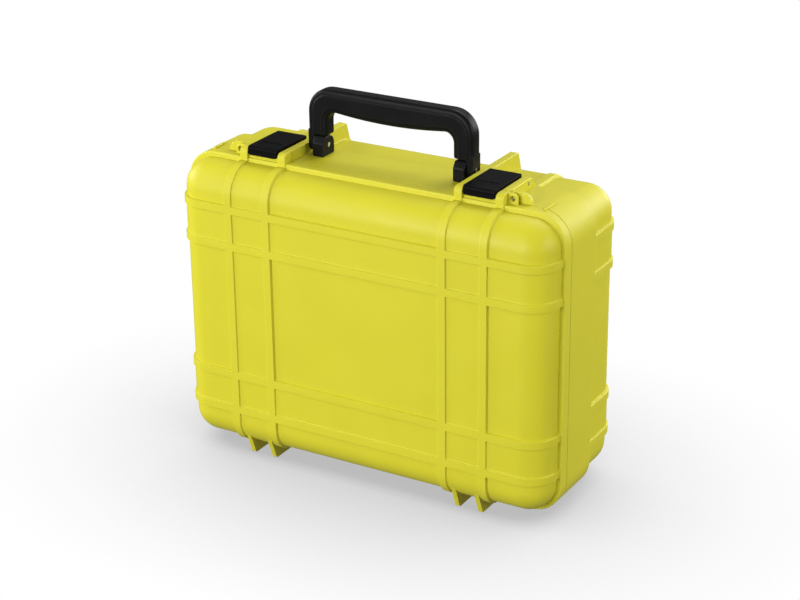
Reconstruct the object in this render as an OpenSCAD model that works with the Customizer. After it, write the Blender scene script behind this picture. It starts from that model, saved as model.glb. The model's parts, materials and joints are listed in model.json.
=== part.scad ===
// Hard carrying case for tools, standing upright on its hinge side, with a lift-out tray inside.
// +X is to the right, +Y is away from the front, +Z is up. The origin is on the ground, at the
// middle of the case's width and depth. The shallow front shell is the lid; it is hinged at the
// bottom and latched at the top. Millimetres.

/* [Case] */
// Width over the collar that runs round the case
case_w = 482; // [420:1:600]
// Height over the collar, without the feet and the handle
case_h = 352; // [320:1:480]
// Depth over the ribs, lid and base together
case_d = 190; // [170:1:260]
// Depth of the lid, from its front ribs to the parting line
lid_d = 52; // [48:1:75]
// Rounding of the shells' corners and edges
corner_r = 31; // [22:1:36]
// Wall of both shells
wall = 4; // [3:0.5:5]
// How far the collar stands out from the shells
collar_t = 6; // [5:0.5:8]
// Depth of the collar on the lid
lid_collar_d = 14; // [12:1:18]
// Depth of the collar on the base
base_collar_d = 60; // [52:1:75]
// Gap between the two shells at the parting line
parting_gap = 0.4; // [0.2:0.1:1]
// Height of the feet under the collar
foot_h = 9; // [8.5:0.5:14]

/* [Ribs] */
// How far a rib stands out from the shell
rib_t = 3; // [2:0.5:4]
// Width of one rib
rib_w = 10; // [7:0.5:12]
// How far the strip between two ribs stands out
strip_t = 1.2; // [0.5:0.1:1.8]
// Middle of each upright pair of ribs, from the middle of the case
band_x = 137.5; // [132:0.5:160]
// Distance between the two ribs of an upright pair
band_pitch_x = 50.2; // [46:0.1:60]
// Middle of each level pair of ribs, from mid-height
band_z = 102; // [80:0.5:110]
// Distance between the two ribs of a level pair
band_pitch_z = 44; // [30:0.5:50]
// Height of the guards beside latches and handle, above the collar
guard_h = 12; // [11:0.5:16]

/* [Hinges] */
// Radius of the steel hinge pins
hinge_pin_r = 2; // [1.5:0.1:2.2]
// Radius of the hinge knuckles
knuckle_r = 4; // [3.8:0.1:4.4]
// Thickness of one hinge cheek and of one foot rail
cheek_t = 6; // [5:0.5:8]
// Distance between the two cheeks of a hinge
cheek_pitch = 29.2; // [24:0.1:34]

/* [Latches] */
// Side clearance between a latch and its guards
latch_gap = 0.8; // [0.5:0.1:1.5]
// Thickness of the latch plate
latch_t = 4.5; // [3.5:0.5:5]
// Length of the latch behind its pin
latch_tail = 5; // [4:0.5:6]
// Radius of the latch pins
latch_pin_r = 2; // [1.5:0.1:2.2]
// Distance from the parting line back to the latch pin
latch_pin_back = 42; // [36:1:50]
// Radius of a padlock hole
padlock_r = 3.2; // [2.5:0.1:3.5]

/* [Handle] */
// Height of the handle's top above the collar
handle_h = 79; // [65:1:95]
// Thickness of the handle from front to back
handle_t = 20; // [16:1:22]
// Width of a handle leg
leg_w = 25; // [23:1:28]
// Height of the grip at its ends
grip_h = 26; // [20:1:30]
// Extra height of the grip at mid-span
grip_swell = 5; // [0:0.5:8]
// Clearance between the handle and the guards
handle_gap = 2; // [1.5:0.5:4]
// Radius of the handle pins
handle_pin_r = 3; // [2.5:0.5:4]

/* [Seal] */
// Width of the seal groove in the lid's rim
groove_w = 4.4; // [3.8:0.1:4.8]
// Depth of the seal groove
groove_d = 5; // [4:0.5:6]
// Thickness of the seal
seal_t = 2.4; // [1.5:0.1:3]
// Height of the base's tongue that presses on the seal
tongue_h = 2; // [1.5:0.1:2.2]

/* [Tray] */
// Depth of the tray
tray_d = 50; // [35:1:60]
// Wall of the tray
tray_wall = 2.5; // [2:0.5:3.5]
// Clearance between the tray and the inside of the base
tray_gap = 6; // [4:0.5:10]
// Thickness of the dividers
divider_t = 2.4; // [1.6:0.2:3]
// Height of the guide ribs that hold the dividers
guide_h = 3; // [2:0.5:4]
// Number of compartments in the upper row
upper_cells = 3; // [3:2:5]
// Number of compartments in the lower row
lower_cells = 3; // [3:2:5]
// Thickness of the foam in the lid
lid_foam_t = 24; // [15:1:32]
// Thickness of the foam at the back of the base
base_foam_t = 10; // [6:1:20]

/* [Hidden] */
$fn = 64;
run_c = 0.05;          // radial clearance of a pin in its bore
slip_c = 0.3;          // clearance between pieces that slide past each other
eps = 1;               // how far a cut runs past the face it starts from
front_y = -case_d / 2;
rear_y = case_d / 2;
part_y = front_y + lid_d;
lid_rim_y = part_y - parting_gap / 2;
base_rim_y = part_y + parting_gap / 2;
mid_z = foot_h + case_h / 2;
top_z = foot_h + case_h;
dome_w = case_w - 2 * collar_t;
dome_h = case_h - 2 * collar_t;
cavity_w = dome_w - 2 * wall;
cavity_h = dome_h - 2 * wall;
cavity_r = corner_r - wall;
rib_xs = [for (s = [-1, 1], t = [-1, 1]) s * band_x + t * band_pitch_x / 2];
rib_zs = [for (s = [-1, 1], t = [-1, 1]) s * band_z + t * band_pitch_z / 2];
guard_in = band_x - band_pitch_x / 2;
guard_out = band_x + band_pitch_x / 2;
guard_z = top_z + guard_h;
guard_root_z = top_z - collar_t - wall / 2;
guard_overhang = 1.5;  // how far the lid's guards reach past its collar
guard_front_y = part_y - lid_collar_d - guard_overhang;
guard_nose = 2.5;      // the cut on a guard's front top corner
guard_past_pin = 8;    // how far the outer guards run level behind the latch pin
fin_back = 24;         // from the back to the rear end of an inner guard's top
fin_foot = 13;         // from the back to the lowest point of that guard
hinge_z = knuckle_r + 0.5;
hinge_gap = 0.4;       // between a hinge barrel and the cheek beside it
barrel_web = 9;
cheek_xs = [for (s = [-1, 1]) band_x + s * cheek_pitch / 2];
cheek_h = 22;          // how far the cheeks reach up the front, above the collar's bottom
cheek_front = 6;
cheek_toe = 18;
rail_start = 10;       // from the parting line back to the front of the base's foot rails
rail_cut = 1.5;
rail_end = 28;         // from the back to the rear end of a foot rail
tick_in = 30;          // from the collar's side in to the thin ridges on its top
tick_w = 3.5;
tick_h = 1.5;
lid_tick_l = 5;
base_tick_l = 18;
ring_mid = (collar_t + wall) / 2;  // from the collar's outside to the middle of the seal groove
tongue_w = groove_w - 1.8;
latch_w = band_pitch_x - rib_w - 2 * latch_gap;
latch_pin_y = part_y + latch_pin_back;
latch_pin_z = top_z + 7;
latch_top_z = guard_z + 3;
latch_front_y = part_y - lid_collar_d - 1.5;
lip_t = 3;
lip_h = 10.5;
latch_eye_t = 2.4;     // plastic round a latch pin
catch_h = 8.5;
catch_t = 4.5;
catch_gap = 0.8;       // between a catch and the lip that hooks over it
lug_w = 11.5;
lid_lug_cut = 3;
base_lug_cut = 7;
lug_front = 6;         // from the parting line forward to the lid lug's front face
lid_lug_t = 4;
base_lug_t = 6;
base_lug_w = 30;
padlock_x = guard_out + rib_w / 2 + lug_w / 2;
padlock_z = top_z + guard_h / 2;
handle_y = part_y + 40;
handle_w = 2 * (guard_in - rib_w / 2 - handle_gap);
handle_z = top_z + handle_h;
pivot_z = top_z + 12;
ear_r = 9;
ear_t = 8;
ear_x = handle_w / 2 - ear_t;
leg_clear = 1.5;       // between the leg's inner end and the top of its bracket
bracket_r = 11;
bracket_w = 14;
bracket_front = 14;
bracket_x = ear_x - slip_c - bracket_w / 2;
bow_r = 28;
eye_r = 12;
screw_r = 2;
screw_head_r = 4;
screw_head_h = 2.5;
screw_grip = 7;        // how far a bracket screw reaches into its bracket
screw_pitch = 14;
screw_head_z = top_z - collar_t - wall - screw_head_h;
pin_inset = 0.5;       // how far a pin's end lies inside the hole it comes out of
tray_y = part_y + 4;
tray_w = cavity_w - 2 * tray_gap;
tray_h = cavity_h - 2 * tray_gap;
tray_r = cavity_r - tray_gap;
tray_back_y = tray_y + tray_d;
divider_drop = 4;      // how far the cross dividers stay below the tray's rim
divider_front_y = tray_y + divider_drop;
divider_back_y = tray_back_y - tray_wall - slip_c;
inner_w = tray_w - 2 * tray_wall;
inner_h = tray_h - 2 * tray_wall;
guide_t = 1.5;
guide_root = 0.2;      // how far a guide rib reaches into the wall that it stands on
rest_t = 8;
rest_w = tray_gap + 9;
rest_l = 220;
finger_w = 96;
finger_h = 20;
finger_drop = 6;       // from the tray's rim down to the finger slot
foam_gap = 0.5;

SIDES = ["left", "right"];
UPPER = [for (i = [1:upper_cells - 1]) str("tray_divider_upper_", i)];
LOWER = [for (i = [1:lower_cells - 1]) str("tray_divider_lower_", i)];

// ---- shapes that several pieces share ----

module rounded_rect(w, h, r) {
    square([w - 2 * r, h], center = true);
    square([w, h - 2 * r], center = true);
    for (x = [-1, 1], z = [-1, 1]) translate([x * (w / 2 - r), z * (h / 2 - r)]) circle(r);
}

// A flat outline in the case's XZ plane, centred at mid-height, given depth from y0 back to y1
module across(y0, y1) {
    translate([0, y1, mid_z]) rotate([90, 0, 0]) linear_extrude(y1 - y0) children();
}

// A side profile given in (Y, Z), made t wide about the plane X = x
module profile(x, t) {
    translate([x - t / 2, 0, 0]) rotate([90, 0, 90]) linear_extrude(t) children();
}

// A rod along X
module rod(r, l) {
    rotate([0, 90, 0]) cylinder(r = r, h = l, center = true);
}

// The section of a rounded edge: r wide and d deep, with its front corner rounded to r
module edge_section(r, d) {
    difference() {
        square([r, d]);
        difference() {
            square(r);
            translate([0, r]) circle(r);
        }
    }
}

// A box with its outline and its front edges rounded to r, from y0 back to y1
module dome(w, h, r, y0, y1) {
    d = y1 - y0;
    across(y0, y1) square([w - 2 * r, h - 2 * r], center = true);
    for (k = [0:3]) {
        half = (k % 2 == 0 ? w : h) / 2 - r;
        l = (k % 2 == 0 ? h : w) - 2 * r;
        translate([0, y0, mid_z]) rotate([0, k * 90, 0]) translate([half, 0, 0]) {
            linear_extrude(l, center = true) edge_section(r, d);
            translate([0, 0, -l / 2]) rotate([-90, 0, 0]) rotate_extrude(angle = 90) edge_section(r, d);
        }
    }
}

// A box of the given width and height about the point at, [x, z], through a shell d deep
module slab(at, size, d) {
    translate([at[0], front_y + d / 2, mid_z + at[1]]) cube([size[0], d + eps, size[1]], center = true);
}

// The outside of one shell, d deep: dome, ribs and the strips between them
module ribbed_dome(d) {
    dome(dome_w, dome_h, corner_r, front_y + rib_t, front_y + d);
    intersection() {
        dome(dome_w + 2 * rib_t, dome_h + 2 * rib_t, corner_r + rib_t, front_y, front_y + d);
        union() {
            for (x = rib_xs) slab([x, 0], [rib_w, case_h], d);
            for (z = rib_zs) slab([0, z], [case_w, rib_w], d);
        }
    }
    intersection() {
        strip_y = front_y + rib_t - strip_t;
        dome(dome_w + 2 * strip_t, dome_h + 2 * strip_t, corner_r + strip_t, strip_y, front_y + d);
        union() {
            for (s = [-1, 1]) slab([s * band_x, 0], [band_pitch_x, case_h], d);
            for (s = [-1, 1]) slab([0, s * band_z], [case_w, band_pitch_z], d);
        }
    }
}

// The collar's outline, moved inwards by t
module collar_inset(t) {
    rounded_rect(case_w - 2 * t, case_h - 2 * t, corner_r + collar_t - t);
}

module collar(y0, y1) {
    across(y0, y1) collar_inset(0);
}

// A ring w wide that runs round the rim
module ring(w, y0, y1) {
    across(y0, y1) difference() {
        collar_inset(ring_mid - w / 2);
        collar_inset(ring_mid + w / 2);
    }
}

// ---- the lid ----

module lid_guard(x) {
    profile(x, rib_w) polygon([
        [guard_front_y, guard_root_z],
        [guard_front_y, guard_z - guard_nose],
        [guard_front_y + guard_nose, guard_z],
        [lid_rim_y, guard_z],
        [lid_rim_y, guard_root_z]
    ]);
}

module lid_lug(s) {
    across(part_y - lug_front, part_y - lug_front + lid_lug_t) polygon([
        [s * guard_out, case_h / 2 - collar_t],
        [s * guard_out, case_h / 2 + guard_h],
        [s * (guard_out + rib_w / 2 + lug_w - lid_lug_cut), case_h / 2 + guard_h],
        [s * (guard_out + rib_w / 2 + lug_w), case_h / 2 + guard_h - lid_lug_cut],
        [s * (guard_out + rib_w / 2 + lug_w), case_h / 2 - collar_t]
    ]);
}

module latch_catch(s) {
    catch_y = latch_front_y + lip_t + catch_gap + catch_t / 2;
    translate([s * band_x, catch_y, top_z + catch_h / 2 - collar_t / 2]) {
        cube([band_pitch_x, catch_t, catch_h + collar_t], center = true);
    }
}

module hinge_cheek(x) {
    profile(x, cheek_t) {
        polygon([
            [front_y + cheek_front, foot_h + cheek_h],
            [front_y + cheek_toe - 3, 3],
            [front_y + cheek_toe, hinge_z - knuckle_r],
            [part_y, hinge_z - knuckle_r],
            [lid_rim_y, hinge_z],
            [lid_rim_y, foot_h + collar_t + wall / 2],
            [front_y + cheek_toe, foot_h + cheek_h]
        ]);
        translate([part_y, hinge_z]) circle(knuckle_r);
    }
}

module padlock_holes() {
    for (s = [-1, 1]) translate([s * padlock_x, part_y, padlock_z]) {
        rotate([90, 0, 0]) cylinder(r = padlock_r, h = 40, center = true);
    }
}

module hinge_bores() {
    for (s = [-1, 1]) translate([s * band_x, part_y, hinge_z]) {
        rod(hinge_pin_r + run_c, cheek_pitch + 3 * cheek_t);
    }
}

// A thin ridge across the top of the collar, near each corner
module collar_tick(s, y0, y1) {
    translate([s * (case_w / 2 - tick_in), (y0 + y1) / 2, top_z + tick_h - 4.5]) {
        cube([tick_w, y1 - y0, 9], center = true);
    }
}

module lid_shell() {
    color("#d8d234") difference() {
        union() {
            ribbed_dome(lid_rim_y - front_y);
            collar(part_y - lid_collar_d, lid_rim_y);
            for (s = [-1, 1], x = [guard_in, guard_out]) lid_guard(s * x);
            for (s = [-1, 1]) lid_lug(s);
            for (s = [-1, 1]) latch_catch(s);
            for (s = [-1, 1], x = cheek_xs) hinge_cheek(s * x);
            for (s = [-1, 1]) collar_tick(s, part_y - lid_tick_l, lid_rim_y);
        }
        dome(cavity_w, cavity_h, cavity_r, front_y + rib_t + wall, part_y + eps);
        ring(groove_w, lid_rim_y - groove_d, part_y + eps);
        padlock_holes();
        hinge_bores();
    }
}

module lid_seal() {
    color("#1b1b1c") ring(groove_w - 2 * run_c, lid_rim_y - groove_d, lid_rim_y - groove_d + seal_t);
}

module lid_foam() {
    color("#3b3c40") dome(
        cavity_w - 2 * foam_gap, cavity_h - 2 * foam_gap, cavity_r - foam_gap,
        front_y + rib_t + wall, front_y + rib_t + wall + lid_foam_t
    );
}

// ---- the base ----

// The long guards beside the handle: they run back over the rear edge
module inner_guard(x) {
    profile(x, rib_w) polygon([
        [base_rim_y, guard_root_z],
        [base_rim_y, guard_z],
        [rear_y - fin_back, guard_z],
        [rear_y - fin_back + 4, guard_z - 3],
        [rear_y - fin_foot, top_z - collar_t - 7],
        [rear_y - corner_r - rib_t, guard_root_z]
    ]);
}

// The short guards on the outer side of the latches
module outer_guard(x) {
    profile(x, rib_w) polygon([
        [base_rim_y, guard_root_z],
        [base_rim_y, guard_z],
        [latch_pin_y + guard_past_pin, guard_z],
        [part_y + base_collar_d, top_z],
        [part_y + base_collar_d, guard_root_z]
    ]);
}

module base_lug(s) {
    across(base_rim_y, base_rim_y + base_lug_t) polygon([
        [s * guard_out, case_h / 2 - collar_t],
        [s * guard_out, case_h / 2 + guard_h],
        [s * (guard_out + base_lug_w - base_lug_cut), case_h / 2 + guard_h],
        [s * (guard_out + base_lug_w), case_h / 2 + guard_h - base_lug_cut],
        [s * (guard_out + base_lug_w), case_h / 2 - collar_t]
    ]);
}

module hinge_barrel(s) {
    barrel_w = cheek_pitch - cheek_t - 2 * hinge_gap;
    translate([s * band_x, part_y, hinge_z]) rod(knuckle_r, barrel_w);
    translate([s * band_x - barrel_w / 2, base_rim_y, hinge_z - knuckle_r]) {
        cube([barrel_w, barrel_web, foot_h + collar_t / 2 - hinge_z + knuckle_r]);
    }
}

module foot_rail(x) {
    profile(x, cheek_t) polygon([
        [part_y + rail_start, foot_h + collar_t / 2],
        [part_y + rail_start, rail_cut],
        [part_y + rail_start + rail_cut, 0],
        [rear_y - rail_end - 2 * rail_cut, 0],
        [rear_y - rail_end, rail_cut],
        [rear_y - rail_end + 11, foot_h + collar_t + 8],
        [rear_y - corner_r - rib_t, foot_h + collar_t + wall / 2],
        [part_y + base_collar_d - 4, foot_h + collar_t + wall / 2]
    ]);
}

module latch_bores() {
    for (s = [-1, 1]) {
        translate([s * band_x, latch_pin_y, latch_pin_z]) rod(latch_pin_r + run_c, band_pitch_x + 3 * rib_w);
    }
}

module bracket_bores(s) {
    for (y = [-1, 1]) translate([s * bracket_x, handle_y + y * screw_pitch / 2, screw_head_z - eps]) {
        cylinder(r = screw_r + run_c, h = top_z + screw_grip - screw_head_z + eps);
    }
}

module base_shell() {
    color("#d2cc2f") difference() {
        union() {
            mirror([0, 1, 0]) ribbed_dome(rear_y - base_rim_y);
            collar(base_rim_y, part_y + base_collar_d);
            ring(tongue_w, part_y - tongue_h, part_y + 2);
            for (s = [-1, 1]) inner_guard(s * guard_in);
            for (s = [-1, 1]) outer_guard(s * guard_out);
            for (s = [-1, 1]) base_lug(s);
            for (s = [-1, 1]) hinge_barrel(s);
            for (s = [-1, 1], x = cheek_xs) foot_rail(s * x);
            for (s = [-1, 1]) collar_tick(s, base_rim_y, part_y + base_tick_l);
        }
        mirror([0, 1, 0]) dome(cavity_w, cavity_h, cavity_r, front_y + rib_t + wall, -part_y + 10);
        padlock_holes();
        hinge_bores();
        latch_bores();
        for (s = [-1, 1]) bracket_bores(s);
    }
}

module base_foam() {
    color("#3b3c40") mirror([0, 1, 0]) dome(
        cavity_w - 2 * foam_gap, cavity_h - 2 * foam_gap, cavity_r - foam_gap,
        front_y + rib_t + wall, front_y + rib_t + wall + base_foam_t
    );
}

module hinge_pin(s) {
    color("#b9bcc0") translate([s * band_x, part_y, hinge_z]) rod(hinge_pin_r, cheek_pitch + cheek_t);
}

// ---- latches ----

module latch(s) {
    color("#1d1d1f") difference() {
        union() {
            profile(s * band_x, latch_w) polygon([
                [latch_front_y, latch_top_z - 2],
                [latch_front_y + 2, latch_top_z],
                [latch_pin_y + latch_tail, latch_top_z],
                [latch_pin_y + latch_tail, latch_top_z - latch_t],
                [latch_front_y + lip_t, latch_top_z - latch_t],
                [latch_front_y + lip_t, latch_top_z - lip_h],
                [latch_front_y, latch_top_z - lip_h]
            ]);
            profile(s * band_x, latch_w) {
                translate([latch_pin_y, latch_pin_z]) circle(latch_pin_r + latch_eye_t);
                translate([latch_pin_y - latch_pin_r - 2, latch_pin_z]) {
                    square([2 * latch_pin_r + 4, latch_top_z - latch_t - latch_pin_z + eps]);
                }
            }
        }
        latch_bores();
    }
}

module latch_pin(s) {
    color("#b9bcc0") translate([s * band_x, latch_pin_y, latch_pin_z]) {
        rod(latch_pin_r, band_pitch_x + rib_w - 2 * pin_inset);
    }
}

// ---- handle ----

// The handle seen from the front, with y = 0 at its pivots
module bow_outline() {
    hw = handle_w / 2;
    top = handle_z - pivot_z;
    eye_hw = hw - leg_w;
    eye_top = top - grip_h;
    swell_r = (eye_hw * eye_hw + grip_swell * grip_swell) / (2 * max(grip_swell, 0.01));
    difference() {
        union() {
            translate([-hw, 0]) square([2 * hw, top - bow_r]);
            translate([-hw + bow_r, 0]) square([2 * (hw - bow_r), top]);
            for (s = [-1, 1]) translate([s * (hw - bow_r), top - bow_r]) circle(bow_r);
        }
        difference() {
            union() {
                translate([-eye_hw, -eps]) square([2 * eye_hw, eye_top - eye_r + eps]);
                translate([-eye_hw + eye_r, -eps]) square([2 * (eye_hw - eye_r), eye_top + eps]);
                for (s = [-1, 1]) translate([s * (eye_hw - eye_r), eye_top - eye_r]) circle(eye_r);
            }
            translate([0, eye_top - grip_swell + swell_r]) circle(swell_r);
        }
        translate([-ear_x, -eps]) square([2 * ear_x, bracket_r + leg_clear + eps]);
    }
}

module handle_bow() {
    color("#1d1d1f") difference() {
        union() {
            translate([0, handle_y + handle_t / 2, pivot_z]) rotate([90, 0, 0]) {
                linear_extrude(handle_t) bow_outline();
            }
            for (s = [-1, 1]) translate([s * (ear_x + ear_t / 2), handle_y, pivot_z]) rod(ear_r, ear_t);
        }
        translate([0, handle_y, pivot_z]) rod(handle_pin_r + run_c, handle_w + 2);
    }
}

module handle_bracket(s) {
    color("#1d1d1f") difference() {
        union() {
            translate([s * bracket_x, handle_y, pivot_z]) rod(bracket_r, bracket_w);
            profile(s * bracket_x, bracket_w) polygon([
                [handle_y - bracket_front, top_z],
                [handle_y - bracket_front, pivot_z + 4],
                [handle_y - bracket_front + 5, pivot_z + bracket_r],
                [handle_y, pivot_z + bracket_r],
                [handle_y, pivot_z],
                [handle_y + bracket_r, pivot_z],
                [handle_y + bracket_r, top_z]
            ]);
        }
        translate([0, handle_y, pivot_z]) rod(handle_pin_r + run_c, handle_w);
        bracket_bores(s);
    }
}

module handle_pin(s) {
    pin_l = bracket_w + slip_c + ear_t;
    color("#b9bcc0") translate([s * (handle_w - pin_l) / 2, handle_y, pivot_z]) {
        rod(handle_pin_r, pin_l - 2 * pin_inset);
    }
}

module bracket_screws(s) {
    color("#b9bcc0") for (y = [-1, 1]) {
        translate([s * bracket_x, handle_y + y * screw_pitch / 2, screw_head_z]) {
            cylinder(r = screw_head_r, h = screw_head_h);
            cylinder(r = screw_r, h = top_z + screw_grip - screw_head_z - eps);
        }
    }
}

// ---- tray ----

// The middles of the cross dividers of a row that has n compartments
function divider_xs(n) = [for (i = [1:n - 1]) -inner_w / 2 + i * inner_w / n];

// Two guide ribs that hold one edge of a divider: at = [x, z] on the wall, dir = into the tray,
// y1 = how far back they run
module guide_pair(at, dir, y1) {
    off = divider_t / 2 + slip_c + guide_t / 2;
    for (t = [-1, 1]) {
        x = at[0] + dir[0] * guide_h / 2 + dir[1] * t * off;
        z = at[1] + dir[1] * guide_h / 2 + dir[0] * t * off;
        w = abs(dir[0]) * (guide_h + guide_root) + abs(dir[1]) * guide_t;
        h = abs(dir[1]) * (guide_h + guide_root) + abs(dir[0]) * guide_t;
        across(divider_front_y, y1) translate([x, z]) square([w, h], center = true);
    }
}

module tray_shell() {
    color("#55585d") {
        difference() {
            across(tray_y, tray_back_y) rounded_rect(tray_w, tray_h, tray_r);
            across(tray_y - eps, tray_back_y - tray_wall) rounded_rect(inner_w, inner_h, tray_r - tray_wall);
        }
        floor_mid_y = tray_back_y - tray_wall / 2;
        for (s = [-1, 1]) guide_pair([s * inner_w / 2, 0], [-s, 0], floor_mid_y);
        for (x = divider_xs(upper_cells)) guide_pair([x, inner_h / 2], [0, -1], floor_mid_y);
        for (x = divider_xs(lower_cells)) guide_pair([x, -inner_h / 2], [0, 1], floor_mid_y);
    }
}

module tray_long_divider() {
    color("#2b2c2f") difference() {
        union() {
            translate([-inner_w / 2 + slip_c, tray_y, mid_z - divider_t / 2]) {
                cube([inner_w - 2 * slip_c, divider_back_y - tray_y, divider_t]);
            }
            for (x = divider_xs(upper_cells)) guide_pair([x, divider_t / 2], [0, 1], divider_back_y);
            for (x = divider_xs(lower_cells)) guide_pair([x, -divider_t / 2], [0, -1], divider_back_y);
        }
        translate([0, tray_y + finger_drop + finger_h / 2, mid_z]) {
            for (x = [-1, 1]) translate([x * (finger_w - finger_h) / 2, 0, 0]) {
                cylinder(r = finger_h / 2, h = 20, center = true);
            }
            cube([finger_w - finger_h, finger_h, 20], center = true);
        }
    }
}

// One cross divider: s = 1 in the upper row, -1 in the lower row
module cross_divider(x, s) {
    l = inner_h / 2 - divider_t / 2 - 2 * slip_c;
    mid_y = (divider_front_y + divider_back_y) / 2;
    color("#2b2c2f") translate([x, mid_y, mid_z + s * (inner_h + divider_t) / 4]) {
        cube([divider_t, divider_back_y - divider_front_y, l], center = true);
    }
}

module tray_rest(s) {
    color("#2b2c2f") translate([s * (cavity_w - rest_w) / 2, tray_back_y + slip_c + rest_t / 2, mid_z]) {
        cube([rest_w, rest_t, rest_l], center = true);
    }
}

lid_shell();
base_shell();
lid_seal();
lid_foam();
base_foam();
handle_bow();
tray_shell();
tray_long_divider();
for (i = [0, 1]) {
    s = 2 * i - 1;
    hinge_pin(s);
    latch(s);
    latch_pin(s);
    handle_bracket(s);
    handle_pin(s);
    bracket_screws(s);
    tray_rest(s);
}
for (i = [1:upper_cells - 1]) {
    cross_divider(divider_xs(upper_cells)[i - 1], 1);
}
for (i = [1:lower_cells - 1]) {
    cross_divider(divider_xs(lower_cells)[i - 1], -1);
}
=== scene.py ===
import json
import math

import bmesh
import bpy
import numpy as np
from mathutils import Matrix, Vector


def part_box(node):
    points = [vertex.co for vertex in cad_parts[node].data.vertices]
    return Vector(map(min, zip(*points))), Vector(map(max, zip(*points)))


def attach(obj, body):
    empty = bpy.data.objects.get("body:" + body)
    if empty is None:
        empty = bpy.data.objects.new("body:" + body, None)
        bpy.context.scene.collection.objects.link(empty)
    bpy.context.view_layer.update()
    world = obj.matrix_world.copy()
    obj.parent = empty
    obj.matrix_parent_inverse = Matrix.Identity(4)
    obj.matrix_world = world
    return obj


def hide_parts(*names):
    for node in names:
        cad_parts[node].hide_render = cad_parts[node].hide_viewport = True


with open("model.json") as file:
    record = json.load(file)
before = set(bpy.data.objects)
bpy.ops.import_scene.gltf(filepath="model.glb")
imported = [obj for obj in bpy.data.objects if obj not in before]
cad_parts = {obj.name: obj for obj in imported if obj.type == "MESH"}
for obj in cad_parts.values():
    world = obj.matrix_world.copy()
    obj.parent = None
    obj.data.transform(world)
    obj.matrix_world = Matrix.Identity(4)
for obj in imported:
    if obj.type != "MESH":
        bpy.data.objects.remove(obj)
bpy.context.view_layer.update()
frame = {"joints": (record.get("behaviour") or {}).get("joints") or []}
MM = 0.001


# ---- sizes in millimetres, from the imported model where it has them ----

def mm_box(node):
    """The lowest and highest corner of a CAD node."""
    return tuple(Vector(corner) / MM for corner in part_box(node))


def joint(name):
    """The place of a joint's axis."""
    return Vector(next(j["pos_m"] for j in frame["joints"] if j["name"] == name)) / MM


LID_LO, LID_HI = mm_box("lid_shell")
HINGE = joint("lid_hinge")
LATCH_PIN = joint("latch_right_hinge")
PIVOT = joint("handle_fold")
FRONT_Y, REAR_Y = LID_LO.y, mm_box("base_shell")[1].y
SIDE_X, GUARD_Z = LID_HI.x, LID_HI.z
PART_Y = HINGE.y
BAND_X = LATCH_PIN.x
GUARD_H = 12
TOP_Z = GUARD_Z - GUARD_H
FOOT_H = 9
MID_Z = (TOP_Z + FOOT_H) / 2
CASE_H = TOP_Z - FOOT_H

COLLAR_T = 6
CORNER_R = 31
WALL = 4
RIB_T = 3
RIB_W = 10
STRIP_T = 1.2
RIB_EDGE = 1.5              # width of the soft step at a rib's edge
BAND_PITCH_X, BAND_Z, BAND_PITCH_Z = 50.2, 102, 44
RIB_XS = [s * BAND_X + t * BAND_PITCH_X / 2 for s in (-1, 1) for t in (-1, 1)]
RIB_ZS = [s * BAND_Z + t * BAND_PITCH_Z / 2 for s in (-1, 1) for t in (-1, 1)]
PART_GAP = 0.2              # each rim lies this far from the parting line
LID_COLLAR_D, BASE_COLLAR_D = 14, 60
CORE_X = SIDE_X - COLLAR_T - CORNER_R      # half-size of the flat that all outlines round off from
CORE_Z = CASE_H / 2 - COLLAR_T - CORNER_R
CAVITY_R = CORNER_R - WALL
COLLAR_R = CORNER_R + COLLAR_T
GROOVE_R = (COLLAR_R + CAVITY_R) / 2       # middle of the seal groove, from the core's edge
GROOVE_W, GROOVE_D = 4.4, 5
TONGUE_W, TONGUE_H = 2.6, 2
GUARD_IN, GUARD_OUT = BAND_X - BAND_PITCH_X / 2, BAND_X + BAND_PITCH_X / 2
GUARD_ROOT_Z = TOP_Z - COLLAR_T - WALL / 2
SUNK = 5                    # how deep lugs, catches and ticks are set into the collar
LUG_W = 11.5                # how far a padlock lug of the lid reaches past its guard
KNUCKLE_R = 4               # radius of the hinge knuckles
CHEEK_T, CHEEK_PITCH = 6, 29.2
CHEEK_XS = [BAND_X + s * CHEEK_PITCH / 2 for s in (-1, 1)]
CHEEK_ROOT_Z = FOOT_H + COLLAR_T + 2       # where cheeks and feet end, inside the shell's wall
PIN_HOLE_R, HANDLE_HOLE_R, PADLOCK_HOLE_R = 2.05, 3.05, 3.2


# ---- mesh helpers ----

def add_object(name, mesh):
    obj = bpy.data.objects.new(name, mesh)
    bpy.context.scene.collection.objects.link(obj)
    return obj


def from_bmesh(name, bm):
    bmesh.ops.recalc_face_normals(bm, faces=bm.faces)
    mesh = bpy.data.meshes.new(name)
    bm.to_mesh(mesh)
    bm.free()
    return add_object(name, mesh)


def from_arrays(name, points, faces):
    bm = bmesh.new()
    verts = [bm.verts.new(p) for p in points]
    for face in faces:
        bm.faces.new([verts[i] for i in face])
    return from_bmesh(name, bm)


def tube_faces(rings, count):
    """The faces between neighbouring rings of count points each, and the two flat ends."""
    faces = []
    for a in range(0, (rings - 1) * count, count):
        for i in range(count):
            j = (i + 1) % count
            faces.append((a + i, a + j, a + count + j, a + count + i))
    faces.append(tuple(range(count)))
    faces.append(tuple(range((rings - 1) * count, rings * count)))
    return faces


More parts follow.
